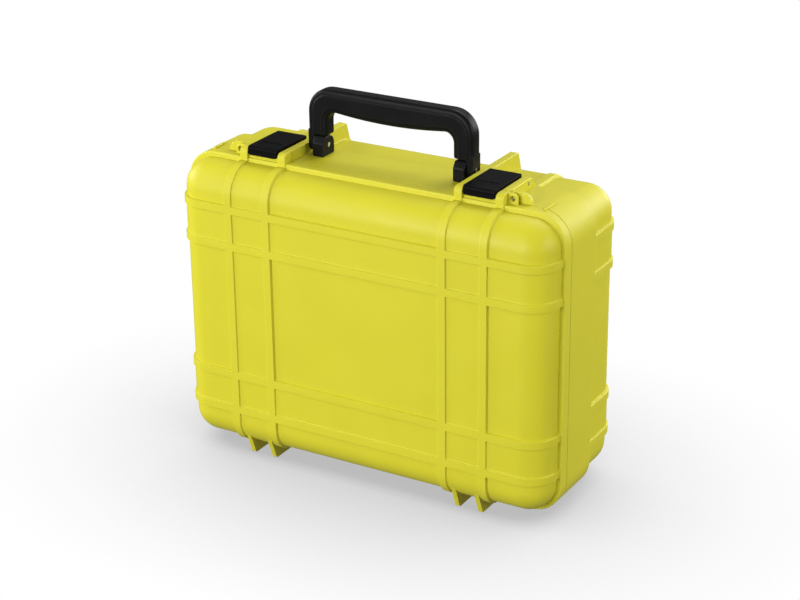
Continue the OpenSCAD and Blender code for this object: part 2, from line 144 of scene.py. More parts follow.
def prism(outline, axis, lo, hi, bevel=0.0, segments=3):
    """An outline given depth along an axis, from lo to hi, with its edges rounded by bevel.
    The outline's points are (Y, Z) for the axis X, (X, Z) for Y, and (X, Y) for Z."""
    place = {
        "X": lambda a, b, t: (t, a, b),
        "Y": lambda a, b, t: (a, t, b),
        "Z": lambda a, b, t: (a, b, t),
    }[axis]
    bm = bmesh.new()
    rings = [[bm.verts.new(place(a, b, t)) for a, b in outline] for t in (lo, hi)]
    bm.faces.new(rings[0])
    bm.faces.new(rings[1])
    n = len(outline)
    for i in range(n):
        bm.faces.new((rings[0][i], rings[0][(i + 1) % n], rings[1][(i + 1) % n], rings[1][i]))
    bmesh.ops.recalc_face_normals(bm, faces=bm.faces)
    if bevel:
        turned = [e for e in bm.edges if e.calc_face_angle(0) > math.radians(20)]
        bmesh.ops.bevel(
            bm, geom=turned, offset=bevel, segments=segments, profile=0.5,
            affect="EDGES", clamp_overlap=True,
        )
    return from_bmesh("prism", bm)


def block(lo, hi, bevel=0.0, segments=3):
    """A box between two corners, with rounded edges."""
    outline = [(lo[0], lo[2]), (hi[0], lo[2]), (hi[0], hi[2]), (lo[0], hi[2])]
    return prism(outline, "Y", lo[1], hi[1], bevel, segments)


def lathe(name, start, direction, profile, sides=48):
    """A turned piece: profile has (distance along the axis, radius), and its ends are closed."""
    axis = Vector(direction).normalized()
    u = axis.orthogonal().normalized()
    v = axis.cross(u)
    bm = bmesh.new()
    rings = []
    for along, radius in profile:
        centre = Vector(start) + axis * along
        turns = [2 * math.pi * i / sides for i in range(sides)]
        rings.append([
            bm.verts.new(centre + (u * math.cos(t) + v * math.sin(t)) * radius) for t in turns
        ])
    bm.faces.new(rings[0])
    bm.faces.new(rings[-1])
    for a, b in zip(rings, rings[1:]):
        for i in range(sides):
            j = (i + 1) % sides
            bm.faces.new((a[i], a[j], b[j], b[i]))
    return from_bmesh(name, bm)


def drill(centre, axis, radius, length):
    """A plain cylinder to cut with, centred on a point."""
    direction = Vector(axis).normalized()
    start = Vector(centre) - direction * length / 2
    return lathe("drill", start, direction, [(0, radius), (length, radius)])


def combine(obj, tools, operation):
    """Adds (UNION) or cuts (DIFFERENCE) each tool, and removes it."""
    for tool in tools:
        step = obj.modifiers.new("step", "BOOLEAN")
        step.operation = operation
        step.solver = "MANIFOLD"
        step.object = tool
        evaluated = obj.evaluated_get(bpy.context.evaluated_depsgraph_get())
        mesh = bpy.data.meshes.new_from_object(evaluated)
        obj.modifiers.clear()
        obj.data = mesh
        bpy.data.objects.remove(tool)


def edge_highlight(mesh):
    """Stores how tightly each point's surface curves outwards, for the painted highlight along edges."""
    sharp, blunt = 0.5, 0.1     # curvature, one over the radius in mm
    bm = bmesh.new()
    bm.from_mesh(mesh)
    values = np.zeros(len(bm.verts))
    for e in bm.edges:
        if len(e.link_faces) != 2:
            continue
        angle = e.calc_face_angle_signed(0)
        if angle <= 0:
            continue
        spacing = sum(f.calc_area() for f in e.link_faces) / max(2 * e.calc_length(), 1e-6)
        bend = angle / max(spacing, 1e-3)
        for v in e.verts:
            values[v.index] = max(values[v.index], bend)
    bm.free()
    values = np.clip((values - blunt) / (sharp - blunt), 0, 1)
    layer = mesh.attributes.new("edge_highlight", "FLOAT", "POINT")
    layer.data.foreach_set("value", values.astype(np.float32))


def finish_piece(obj, name, body, material, nodes, crease=35):
    """Names a piece, gives it its finish and puts it on its CAD body."""
    obj.name = obj.data.name = name
    edge_highlight(obj.data)
    obj.data.transform(Matrix.Scale(MM, 4))
    obj.data.materials.clear()
    obj.data.materials.append(material)
    obj.data.shade_smooth()
    obj.data.set_sharp_from_angle(angle=math.radians(crease))
    normals = obj.modifiers.new("normals", "WEIGHTED_NORMAL")
    normals.keep_sharp = True
    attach(obj, body)
    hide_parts(*nodes)


# ---- the shape that both shells, the tray and the foam pads share ----

def filled(marks, step):
    """Sorted marks with more between them, so that no gap is wider than step."""
    marks = sorted(set(round(m, 4) for m in marks))
    out = [marks[0]]
    for a, b in zip(marks, marks[1:]):
        n = max(1, math.ceil((b - a) / step))
        out += [a + (b - a) * k / n for k in range(1, n + 1)]
    return out


def rib_marks(half, ribs, step):
    """Marks along one side of the core, closer together at the edges of the ribs."""
    edges = [c + s * RIB_W / 2 for c in ribs for s in (-1, 1)]
    steps = [-0.5, -0.3, 0, 0.3, 0.5, 1.0]
    marks = [e + k * RIB_EDGE for e in edges for k in steps if abs(e) < half]
    return filled([-half, half] + marks, step)


def soft_step(t):
    """0 below 0 and 1 above 1, with a smooth rise between."""
    t = min(1.0, max(0.0, t))
    return t * t * (3 - 2 * t)


def bar(offset, width):
    """1 on a bar of that width about offset 0, with soft edges, and 0 beside it."""
    return soft_step((width / 2 - abs(offset)) / RIB_EDGE + 0.5)


def rib_height(x, z):
    """How far the ribs and the strips between them stand out at a place on the core."""
    ribs = max(max(bar(x - c, RIB_W) for c in RIB_XS), max(bar(z - c, RIB_W) for c in RIB_ZS))
    strips = max(
        max(bar(x - s * BAND_X, BAND_PITCH_X) for s in (-1, 1)),
        max(bar(z - s * BAND_Z, BAND_PITCH_Z) for s in (-1, 1)),
    )
    return max(RIB_T * ribs, STRIP_T * strips)


class Outline:
    """The points round a rounded rectangle: each has a place on the core and a direction out."""

    def __init__(self, xs, zs, corner_steps=8):
        self.xs, self.zs = xs, zs
        a, b = xs[-1], zs[-1]
        last_x, last_z = len(xs) - 1, len(zs) - 1
        quarter = [math.pi / 2 * k / corner_steps for k in range(1, corner_steps)]
        self.places = []        # (x, z, out_x, out_z, column, row)
        self.places += [(x, -b, 0, -1, i, 0) for i, x in enumerate(xs)]
        self.places += [(a, -b, math.sin(t), -math.cos(t), last_x, 0) for t in quarter]
        self.places += [(a, z, 1, 0, last_x, j) for j, z in enumerate(zs)]
        self.places += [(a, b, math.cos(t), math.sin(t), last_x, last_z) for t in quarter]
        self.places += [(x, b, 0, 1, last_x - i, last_z) for i, x in enumerate(reversed(xs))]
        self.places += [(-a, b, -math.sin(t), math.cos(t), 0, last_z) for t in quarter]
        self.places += [(-a, z, -1, 0, 0, last_z - j) for j, z in enumerate(reversed(zs))]
        self.places += [(-a, -b, -math.cos(t), -math.sin(t), 0, 0) for t in quarter]


def loft(name, outline, y0, forward, profile, height, caps):
    """A skin that runs round the outline along a profile.
    Each point of the profile has (distance out from the core, depth, and how far height moves it
    outwards and in depth). Depth 0 is at y0, and grows along forward, which is 1 or -1.
    caps gives the depth of the flat faces at the profile's start and end, and how far height
    moves them in depth; without caps the profile is closed into a ring."""
    places = outline.places
    count = len(places)
    heights = [height(p[0], p[1]) for p in places]
    points, faces = [], []
    for out, depth, h_out, h_depth in profile:
        for (x, z, nx, nz, _, _), h in zip(places, heights):
            r = out + h * h_out
            points.append((x + r * nx, y0 + forward * (depth + h * h_depth), MID_Z + z + r * nz))
    rings = len(profile)
    for k in range(rings if not caps else rings - 1):
        a, b = k * count, ((k + 1) % rings) * count
        for i in range(count):
            j = (i + 1) % count
            faces.append((a + i, a + j, b + j, b + i))
    columns, rows = len(outline.xs), len(outline.zs)
    for (depth, h_depth, face_height), ring in zip(caps, (0, (rings - 1) * count)):
        first = len(points)
        for z in outline.zs:
            for x in outline.xs:
                h = face_height(x, z) * h_depth
                points.append((x, y0 + forward * (depth + h), MID_Z + z))
        for r in range(rows - 1):
            for c in range(columns - 1):
                i = first + r * columns + c
                faces.append((i, i + 1, i + columns + 1, i + columns))
        for i in range(count):
            j = (i + 1) % count
            a = first + places[i][5] * columns + places[i][4]
            b = first + places[j][5] * columns + places[j][4]
            if a == b:
                faces.append((a, ring + j, ring + i))
            else:
                faces.append((a, b, ring + j, ring + i))
    return from_arrays(name, points, faces)


def no_height(x, z):
    return 0.0


def rounding(out, depth, radius, start, end, steps, follow=0.0):
    """Profile points on an arc about (out, depth), from one angle to another in degrees.
    0 points outwards and 90 towards depth 0. follow is how far height moves the points."""
    points = []
    for k in range(steps + 1):
        t = math.radians(start + (end - start) * k / steps)
        c, s = math.cos(t), math.sin(t)
        points.append((out + radius * c, depth - radius * s, follow * c, -follow * s))
    return points


# ---- materials ----

def nodes_of(name):
    material = bpy.data.materials.new(name)
    material.use_nodes = True
    tree = material.node_tree
    return material, tree, tree.nodes["Principled BSDF"]


def noise(tree, scale, detail=2.0, roughness=0.5, stretch=(1, 1, 1)):
    coords = tree.nodes.new("ShaderNodeTexCoord")
    mapping = tree.nodes.new("ShaderNodeMapping")
    mapping.inputs["Scale"].default_value = stretch
    texture = tree.nodes.new("ShaderNodeTexNoise")
    texture.inputs["Scale"].default_value = scale
    texture.inputs["Detail"].default_value = detail
    texture.inputs["Roughness"].default_value = roughness
    tree.links.new(coords.outputs["Object"], mapping.inputs["Vector"])
    tree.links.new(mapping.outputs["Vector"], texture.inputs["Vector"])
    return texture.outputs["Fac"]


def spread(tree, value, low, high, to_low, to_high):
    """The value from low to high, mapped to a new range and held inside it."""
    node = tree.nodes.new("ShaderNodeMapRange")
    for socket, number in zip(("From Min", "From Max", "To Min", "To Max"), (low, high, to_low, to_high)):
        node.inputs[socket].default_value = number
    tree.links.new(value, node.inputs["Value"])
    return node.outputs["Result"]


def mix_colour(tree, amount, first, second):
    node = tree.nodes.new("ShaderNodeMix")
    node.data_type = "RGBA"
    for socket, colour in ((node.inputs[6], first), (node.inputs[7], second)):
        if isinstance(colour, tuple):
            socket.default_value = (*colour, 1)
        else:
            tree.links.new(colour, socket)
    tree.links.new(amount, node.inputs[0])
    return node.outputs[2]


def multiply(tree, a, b):
    node = tree.nodes.new("ShaderNodeMath")
    node.operation = "MULTIPLY"
    for socket, value in zip(node.inputs, (a, b)):
        if isinstance(value, (int, float)):
            socket.default_value = value
        else:
            tree.links.new(value, socket)
    return node.outputs[0]


def bump(tree, height, distance, strength, below=None):
    node = tree.nodes.new("ShaderNodeBump")
    node.inputs["Distance"].default_value = distance * MM
    node.inputs["Strength"].default_value = strength
    tree.links.new(height, node.inputs["Height"])
    if below is not None:
        tree.links.new(below, node.inputs["Normal"])
    return node.outputs["Normal"]


def shade(colour, factor):
    return tuple(min(1.0, c * factor) for c in colour)


def plastic(name, colour, wear_and_highlight, rough, gloss, grain=900, depth=0.06, mottle=0.06, wear=0.16):
    """Moulded plastic: a fine grain, faint clouds of colour, a painted highlight along convex edges and a
    few rubbed places.
    """
    material, tree, bsdf = nodes_of(name)
    clouds = spread(tree, noise(tree, 14, 3), 0.3, 0.7, 0, 1)
    base = mix_colour(tree, clouds, shade(colour, 1 - mottle), shade(colour, 1 + mottle))
    attribute = tree.nodes.new("ShaderNodeAttribute")
    attribute.attribute_name = "edge_highlight"
    highlight_breakup = spread(tree, noise(tree, 90, 4, 0.6), 0.25, 0.6, 0.35, 1)
    # Painted highlight: convex edges, weighted by their curvature and broken up by noise, are mixed
    # towards the lighter second colour.
    base = mix_colour(tree, multiply(tree, attribute.outputs["Fac"], highlight_breakup), base, wear_and_highlight)
    rubs = spread(tree, noise(tree, 60, 5, 0.7, (1, 0.25, 1)), 0.58, 0.75, 0, 1)
    # The rubbed places are real wear and take the same lighter colour.
    base = mix_colour(tree, multiply(tree, rubs, wear), base, wear_and_highlight)
    tree.links.new(base, bsdf.inputs["Base Color"])
    patches = spread(tree, noise(tree, 30, 4), 0.3, 0.7, rough - 0.05, rough + 0.06)
    tree.links.new(patches, bsdf.inputs["Roughness"])
    bsdf.inputs["Specular IOR Level"].default_value = gloss
    fine = bump(tree, noise(tree, grain, 2, 0.6), depth, 0.6)
    tree.links.new(bump(tree, noise(tree, 45, 2), 0.12, 0.25, fine), bsdf.inputs["Normal"])
    return material


def rubber(name, colour):
    material, tree, bsdf = nodes_of(name)
    dust = spread(tree, noise(tree, 120, 4, 0.6), 0.45, 0.75, 0, 1)
    tree.links.new(mix_colour(tree, dust, colour, shade(colour, 2.2)), bsdf.inputs["Base Color"])
    tree.links.new(spread(tree, noise(tree, 200, 3), 0.3, 0.7, 0.62, 0.8), bsdf.inputs["Roughness"])
    tree.links.new(bump(tree, noise(tree, 1500, 2), 0.05, 0.5), bsdf.inputs["Normal"])
    return material


def steel(name, colour):
    """Drawn wire: fine lines along the pin."""
    material, tree, bsdf = nodes_of(name)
    lines = noise(tree, 1600, 3, 0.6, (0.04, 1, 1))
    tones = spread(tree, lines, 0.3, 0.7, 0, 1)
    base = mix_colour(tree, tones, shade(colour, 0.86), shade(colour, 1.08))
    tree.links.new(base, bsdf.inputs["Base Color"])
    bsdf.inputs["Metallic"].default_value = 1.0
    tree.links.new(spread(tree, lines, 0.3, 0.7, 0.22, 0.36), bsdf.inputs["Roughness"])
    tree.links.new(bump(tree, lines, 0.02, 0.4), bsdf.inputs["Normal"])
    return material


def foam(name, colour):
    """Open-cell foam: small cells, with painted shade in the hollows between their walls."""
    material, tree, bsdf = nodes_of(name)
    coords = tree.nodes.new("ShaderNodeTexCoord")
    cells = tree.nodes.new("ShaderNodeTexVoronoi")
    cells.inputs["Scale"].default_value = 900
    tree.links.new(coords.outputs["Object"], cells.inputs["Vector"])
    # Painted shade in the cells' hollows: depth is 1 at each cell's middle, where the colour is darkened
    # to 0.45 of the foam's tone.
    depth = spread(tree, cells.outputs["Distance"], 0.1, 0.6, 1, 0)
    clouds = spread(tree, noise(tree, 40, 3), 0.3, 0.7, 0, 1)
    tone = mix_colour(tree, clouds, shade(colour, 0.9), shade(colour, 1.15))
    tree.links.new(mix_colour(tree, depth, tone, shade(colour, 0.45)), bsdf.inputs["Base Color"])
    bsdf.inputs["Roughness"].default_value = 0.95
    bsdf.inputs["Specular IOR Level"].default_value = 0.15
    bsdf.inputs["Sheen Weight"].default_value = 0.25
    tree.links.new(bump(tree, cells.outputs["Distance"], 0.4, 0.8), bsdf.inputs["Normal"])
    return material


# Each material's second, lighter colour paints the highlight along edges and also colours the rubbed
# places.
YELLOW = plastic(
    "yellow_plastic", colour=(0.54, 0.50, 0.023), wear_and_highlight=(0.575, 0.54, 0.04),
    rough=0.44, gloss=0.24, mottle=0.018, wear=0.05,
)
BLACK_LATCH = plastic(
    "black_latch_plastic", colour=(0.002, 0.002, 0.0022), wear_and_highlight=(0.008, 0.008, 0.009),
    rough=0.4, gloss=0.035, grain=1100, depth=0.04, mottle=0.2,
)
BLACK_HANDLE = plastic(
    "black_handle_plastic", colour=(0.003, 0.003, 0.0032), wear_and_highlight=(0.011, 0.011, 0.012),
    rough=0.36, gloss=0.09, grain=800, depth=0.07, mottle=0.2,
)
GREY = plastic(
    "grey_tray_plastic", colour=(0.085, 0.09, 0.098), wear_and_highlight=(0.16, 0.165, 0.175),
    rough=0.5, gloss=0.3, grain=700, mottle=0.08,
)
DARK = plastic(
    "dark_divider_plastic", colour=(0.022, 0.022, 0.025), wear_and_highlight=(0.06, 0.06, 0.065),
    rough=0.5, gloss=0.3, grain=700, mottle=0.1,
)
RUBBER = rubber("black_rubber", (0.012, 0.012, 0.013))
STEEL = steel("drawn_steel", (0.56, 0.56, 0.57))
FOAM = foam("grey_foam", (0.055, 0.057, 0.062))


# ---- the two shells ----

SHELL_OUTLINE = Outline(rib_marks(CORE_X, RIB_XS, 14), rib_marks(CORE_Z, RIB_ZS, 14), 10)


def shell_profile(rim, collar, rim_shape):
    """From the dome's edge over the collar and the rim to the cavity's floor.
    Depths run from the dome's face."""
    edge, lip = 2.0, 0.6
    dome = rounding(0, CORNER_R, CORNER_R, 81, 0, 9, follow=1)
    wall = [(CORNER_R, d, 1, 0) for d in filled([CORNER_R, collar - 1], 20)[1:]]
    root = [(CORNER_R + 0.3, collar - 0.3, 1, 0), (CORNER_R + 1, collar, 1, 0)]
    front = rounding(COLLAR_R - edge, collar + edge, edge, 90, 0, 5)
    side = [(COLLAR_R, d, 0, 0) for d in filled([collar + edge, rim - lip], 20)[1:-1]]
    back = rounding(COLLAR_R - lip, rim - lip, lip, 0, -90, 2)
    mouth = rounding(CAVITY_R + lip, rim - lip, lip, -90, -180, 2)
    inner = [(CAVITY_R, d, 0, 0) for d in reversed(filled([CORNER_R, rim - lip], 24)[:-1])]
    floor = rounding(0, CORNER_R, CAVITY_R, 12, 84, 6)
    return dome + wall + root + front + side + back + rim_shape + mouth + inner + floor


def shell_skin(name, y0, forward, profile):
    caps = ((0, -1, rib_height), (WALL, 0, no_height))
    return loft(name, SHELL_OUTLINE, y0, forward, profile, rib_height, caps)


def groove_shape(rim):
    a, b = GROOVE_R + GROOVE_W / 2, GROOVE_R - GROOVE_W / 2
    cut = 0.35
    return [
        (a + cut, rim, 0, 0), (a, rim - cut, 0, 0), (a, rim - GROOVE_D, 0, 0),
        (b, rim - GROOVE_D, 0, 0), (b, rim - cut, 0, 0), (b - cut, rim, 0, 0),
    ]


def tongue_shape(rim):
    a, b = GROOVE_R + TONGUE_W / 2, GROOVE_R - TONGUE_W / 2
    top = rim + TONGUE_H + PART_GAP
    cut = 0.5
    return [
        (a, rim, 0, 0), (a, top - cut, 0, 0), (a - cut, top, 0, 0),
        (b + cut, top, 0, 0), (b, top - cut, 0, 0), (b, rim, 0, 0),
    ]


def mirrored(points, s):
    return [(s * x, z) for x, z in points]


def padlock_drills():
    x, z = GUARD_OUT + RIB_W / 2 + LUG_W / 2, TOP_Z + GUARD_H / 2
    return [drill((s * x, PART_Y, z), (0, 1, 0), PADLOCK_HOLE_R, length=40) for s in (-1, 1)]


def hinge_drills():
    centres = [(s * BAND_X, HINGE.y, HINGE.z) for s in (-1, 1)]
    return [drill(centre, (1, 0, 0), PIN_HOLE_R, length=48) for centre in centres]


def arc_points(centre, radius, start, end, steps):
    """Points on an arc, from one angle to another in degrees."""
    turns = [math.radians(start + (end - start) * k / steps) for k in range(steps + 1)]
    return [(centre[0] + radius * math.cos(t), centre[1] + radius * math.sin(t)) for t in turns]


def tick(s, y0, y1):
    """A small raised mark beside the parting line, near the case's corner."""
    inset, half_w, height = 30, 1.75, 1.5
    x = s * (SIDE_X - inset)
    return block((x - half_w, y0, TOP_Z - SUNK), (x + half_w, y1, TOP_Z + height), 0.7)


def guard(x, outline):
    """A guard as wide as a rib."""
    return prism(outline, "X", x - RIB_W / 2, x + RIB_W / 2, 1.1)


def lid_guard(x):
    overhang, nose_r = 1.5, 6
    y0, y1 = PART_Y - LID_COLLAR_D - overhang, PART_Y - PART_GAP
    nose = arc_points((y0 + nose_r, GUARD_Z - nose_r), nose_r, 180, 90, 6)
    return guard(x, [(y0, GUARD_ROOT_Z), *nose, (y1, GUARD_Z), (y1, GUARD_ROOT_Z)])


def lid_lug(s):
    y, depth, corner_r = PART_Y - 6, 4, 6
    x0, x1 = GUARD_OUT, GUARD_OUT + RIB_W / 2 + LUG_W
    corner = arc_points((x1 - corner_r, GUARD_Z - corner_r), corner_r, 90, 0, 6)
    outline = mirrored([(x0, TOP_Z - SUNK), (x0, GUARD_Z), *corner, (x1, TOP_Z - SUNK)], s)
    return prism(outline, "Y", y, y + depth, 0.9)


def catch(s):
    """The bar on the lid that a latch hooks over."""
    set_back, depth, height = 2.3, 4.5, 7
    y, half = PART_Y - LID_COLLAR_D + set_back, BAND_PITCH_X / 2
    lo = (s * BAND_X - half, y, TOP_Z - SUNK)
    return block(lo, (s * BAND_X + half, y + depth, TOP_Z + height), 0.8)


def hinge_cheek(x):
    """A plate of the lid's hinge, from the lid's lower rounding down to its toe and knuckle."""
    front, back, root_z = FRONT_Y + 6, FRONT_Y + 22, FOOT_H + 22
    toe_y, toe_r = FRONT_Y + 20.5, 4
    knuckle = arc_points((HINGE.y, HINGE.z), KNUCKLE_R, -90, 80, 8)
    toe = arc_points((toe_y, HINGE.z - KNUCKLE_R + toe_r), toe_r, 210, 270, 4)
    outline = [(front, root_z), *toe, *knuckle, (PART_Y - PART_GAP, CHEEK_ROOT_Z), (back, root_z)]
    return prism(outline, "X", x - CHEEK_T / 2, x + CHEEK_T / 2, 0.8)


def make_lid_shell():
    y0 = FRONT_Y + RIB_T
    rim = PART_Y - PART_GAP - y0
    profile = shell_profile(rim, rim + PART_GAP - LID_COLLAR_D, groove_shape(rim))
    skin = shell_skin("lid", y0, 1, profile)
    added = [lid_guard(s * x) for s in (-1, 1) for x in (GUARD_IN, GUARD_OUT)]
    added += [piece(s) for s in (-1, 1) for piece in (lid_lug, catch)]
    added += [hinge_cheek(s * x) for s in (-1, 1) for x in CHEEK_XS]
    added += [tick(s, PART_Y - 5, PART_Y - PART_GAP) for s in (-1, 1)]
    combine(skin, added, "UNION")
    combine(skin, padlock_drills() + hinge_drills(), "DIFFERENCE")
    finish_piece(skin, "lid_case", "lid", YELLOW, ["lid_shell"])


def inner_guard(x):
    """The long guard beside the handle, down to the base's rear rounding."""
    y0, end_y, nose_r = PART_Y + PART_GAP, REAR_Y - 24, 4
    nose = arc_points((end_y, GUARD_Z - nose_r), nose_r, 90, 25, 4)
    heel, root = (REAR_Y - 13, TOP_Z - COLLAR_T - 7), (REAR_Y - 34, GUARD_ROOT_Z)
    return guard(x, [(y0, GUARD_ROOT_Z), (y0, GUARD_Z), *nose, heel, root])


def outer_guard(x):
    """The short guard on a latch's other side, which slopes down to the collar's end."""
    y0, y1 = PART_Y + PART_GAP, PART_Y + BASE_COLLAR_D
    end_y, nose_r, heel_z = LATCH_PIN.y + 5, 5, TOP_Z - 0.4
    nose = arc_points((end_y, GUARD_Z - nose_r), nose_r, 90, 40, 4)
    return guard(x, [(y0, GUARD_ROOT_Z), (y0, GUARD_Z), *nose, (y1, heel_z), (y1, GUARD_ROOT_Z)])


def base_lug(s):
    y, depth, reach, corner_r = PART_Y + PART_GAP, 6, 30, 12
    x0, x1 = GUARD_OUT, GUARD_OUT + reach
    corner = arc_points((x1 - corner_r, GUARD_Z - corner_r), corner_r, 90, 0, 8)
    outline = mirrored([(x0, TOP_Z - SUNK), (x0, GUARD_Z), *corner, (x1, TOP_Z - SUNK)], s)
    return prism(outline, "Y", y, y + depth, 1.0)


def hinge_barrel(s):
    """The base's knuckle between two cheeks, with its foot on the collar."""
    half = 11.2
    y0, y1, root_z = PART_Y + 0.3, PART_Y + 9, FOOT_H + 3
    knuckle = arc_points((HINGE.y, HINGE.z), KNUCKLE_R, 90, 270, 12)
    outline = [*knuckle, (y1, HINGE.z - KNUCKLE_R), (y1, root_z), (y0, root_z)]
    return prism(outline, "X", s * BAND_X - half, s * BAND_X + half, 0.5)


def foot_rail(x):
    """A foot under the base, in line with a cheek of the hinge."""
    y0, y1, root_z = PART_Y + 10, REAR_Y - 28, FOOT_H + 3
    front_r, rear_r = 2, 3
    front = arc_points((y0 + front_r, front_r), front_r, 180, 270, 3)
    rear = arc_points((y1 - rear_r, rear_r), rear_r, 270, 330, 3)
    outline = [
        (y0, root_z), *front, *rear, (y1 + 11, FOOT_H + COLLAR_T + 8), (REAR_Y - 34, CHEEK_ROOT_Z),
        (PART_Y + BASE_COLLAR_D - 4, CHEEK_ROOT_Z),
    ]
    return prism(outline, "X", x - CHEEK_T / 2, x + CHEEK_T / 2, 0.7)


def make_base_shell():
    y0 = REAR_Y - RIB_T
    rim = y0 - PART_Y - PART_GAP
    profile = shell_profile(rim, rim + PART_GAP - BASE_COLLAR_D, tongue_shape(rim))
    skin = shell_skin("base", y0, -1, profile)
    added = [inner_guard(s * GUARD_IN) for s in (-1, 1)]
    added += [outer_guard(s * GUARD_OUT) for s in (-1, 1)]
    added += [piece(s) for s in (-1, 1) for piece in (base_lug, hinge_barrel)]
    added += [foot_rail(s * x) for s in (-1, 1) for x in CHEEK_XS]
    added += [tick(s, PART_Y + PART_GAP, PART_Y + 18) for s in (-1, 1)]
    combine(skin, added, "UNION")
    centres = [(s * BAND_X, LATCH_PIN.y, LATCH_PIN.z) for s in (-1, 1)]
    pin_holes = [drill(centre, (1, 0, 0), PIN_HOLE_R, length=82) for centre in centres]
    combine(skin, padlock_drills() + hinge_drills() + pin_holes, "DIFFERENCE")
    finish_piece(skin, "base_case", "base", YELLOW, ["base_shell"])


make_lid_shell()
make_base_shell()


# ---- seal, pins and screws ----

def make_seal():
    lo, hi = mm_box("lid_seal")
    r = GROOVE_W / 2 - 0.05
    rim = hi.y - lo.y
    crown = rounding(GROOVE_R, r, r, 0, 180, 8)
    profile = [(GROOVE_R + r, rim, 0, 0), *crown, (GROOVE_R - r, rim, 0, 0)]
    ring = loft("seal", SHELL_OUTLINE, hi.y, -1, profile, no_height, ())
    finish_piece(ring, "lid_seal_cord", "lid", RUBBER, ["lid_seal"])


def make_pin(node):
    lo, hi = mm_box(node)
    centre, radius = (lo + hi) / 2, (hi.z - lo.z) / 2
    length, cut = hi.x - lo.x, 0.3
    profile = [(0, radius - cut), (cut, radius), (length - cut, radius), (length, radius - cut)]
    pin = lathe("pin", (lo.x, centre.y, centre.z), (1, 0, 0), profile)
    finish_piece(pin, node + "_rod", "base", STEEL, [node])


def make_screws(side):
    """Two screws with round heads and cross slots, from inside the base up into a bracket."""
    node = "bracket_screws_" + side
    lo, hi = mm_box(node)
    x, head_r, length = (lo.x + hi.x) / 2, (hi.x - lo.x) / 2, hi.z - lo.z
    head_h, shank_r, tip, slot_d = 2.5, 2, 0.5, 1.1
    head = [(0, head_r - 1.6), (0.25, head_r - 0.8), (0.8, head_r - 0.15), (1.3, head_r), (head_h, head_r)]
    shank = [(head_h, shank_r), (length - tip, shank_r), (length, shank_r - tip)]
    arms = ((2, 0.45), (0.45, 2))       # half-sizes of the slot's two arms
    screws = []
    for y in (lo.y + head_r, hi.y - head_r):
        screw = lathe("screw", (x, y, lo.z), (0, 0, 1), head + shank)
        slots = [block((x - a, y - b, lo.z - 1), (x + a, y + b, lo.z + slot_d)) for a, b in arms]
        combine(screw, slots, "DIFFERENCE")
        screws.append(screw)
    pair, other = screws
    combine(pair, [other], "UNION")
    finish_piece(pair, node + "_pair", "base", STEEL, [node])


make_seal()
for side in ("left", "right"):
    for kind in ("hinge_pin_", "latch_pin_", "handle_pin_"):
        make_pin(kind + side)
    make_screws(side)


# ---- latches ----

def lip_corner(t, x, z, y):
    """A cutter that rounds the lower corner of a latch's lip at its side X, on the t side."""
    r, past = 3.5, 1
    turn = arc_points((x - t * r, z + r), r, 90 - 90 * t, 90 - 180 * t, 6)
    outline = [(x - t * r, z - past), (x + t * past, z - past), (x + t * past, z + r), *turn]
    return prism(outline, "Y", y - past, y + 5)


def make_latch(s, side):
    """A plate with a lip at the front that hooks over the catch, and an eye on its pin."""
    node = "latch_" + side
    lo, hi = mm_box(node)
    plate, lip, lip_z = 4.5, 3, hi.z - 10.5
    nose_r, inside_r, eye_r, clear = 3.6, 1.2, 4.4, 0.02
    nose = arc_points((lo.y + nose_r, hi.z - nose_r), nose_r, 180, 90, 6)
    inside_y, inside_z = lo.y + lip + inside_r, hi.z - plate - inside_r
    inside = arc_points((inside_y, inside_z), inside_r, 90, 180, 3)
    outline = [*nose, (hi.y, hi.z), (hi.y, hi.z - plate), *inside, (lo.y + lip, lip_z), (lo.y, lip_z)]
    body = prism(outline, "X", lo.x, hi.x, 0.9)
    eye, top = (LATCH_PIN.y, LATCH_PIN.z), hi.z - plate + 1
    knuckle = [(eye[0] + eye_r, top), (eye[0] - eye_r, top), *arc_points(eye, eye_r, 180, 360, 14)]
    combine(body, [prism(knuckle, "X", lo.x + clear, hi.x - clear, 0.6)], "UNION")
    corners = [lip_corner(t, x, lip_z, lo.y) for t, x in ((-1, lo.x), (1, hi.x))]
    combine(body, corners, "DIFFERENCE")
    middle, half_w, depth = s * BAND_X, 13, 0.5
    panel_lo = (middle - half_w, lo.y + 9, hi.z - depth)
    panel = block(panel_lo, (middle + half_w, lo.y + 23, hi.z + 3), 0.35)
    pin_hole = drill((middle, *eye), (1, 0, 0), PIN_HOLE_R, length=60)
    combine(body, [panel, pin_hole], "DIFFERENCE")
    finish_piece(body, node + "_lever", node, BLACK_LATCH, [node])


# ---- handle ----

